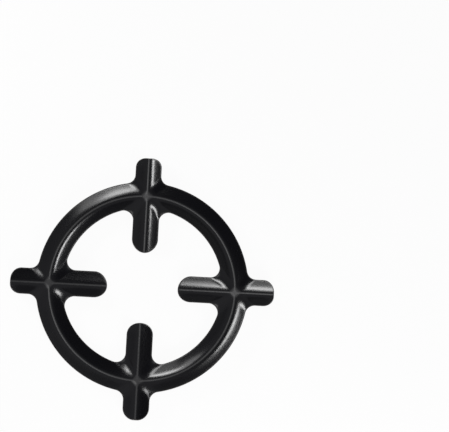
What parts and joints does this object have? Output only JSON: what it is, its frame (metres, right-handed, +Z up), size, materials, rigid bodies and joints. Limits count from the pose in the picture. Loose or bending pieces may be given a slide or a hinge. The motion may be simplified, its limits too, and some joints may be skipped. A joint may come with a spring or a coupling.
{
  "type": "gas hob reducer ring",
  "caption": "Pressed ring with four creased arms, enamelled black, that lets a small pot stand over a gas burner on a wide pan support.",
  "frame": {"origin": "centre of the ring in the plane of its crease lines, on which it rests", "axes": "+Z up through the ring, the hollow side of the pressing up, as pictured; the arms lie along X and Y"},
  "size_m": [0.145, 0.145, 0.0055],
  "materials": {
    "enamel": "glossy black vitreous enamel over pressed steel"
  },
  "bodies": {
    "root": {"reducer_ring": "enamel"}
  },
  "joints": []
}
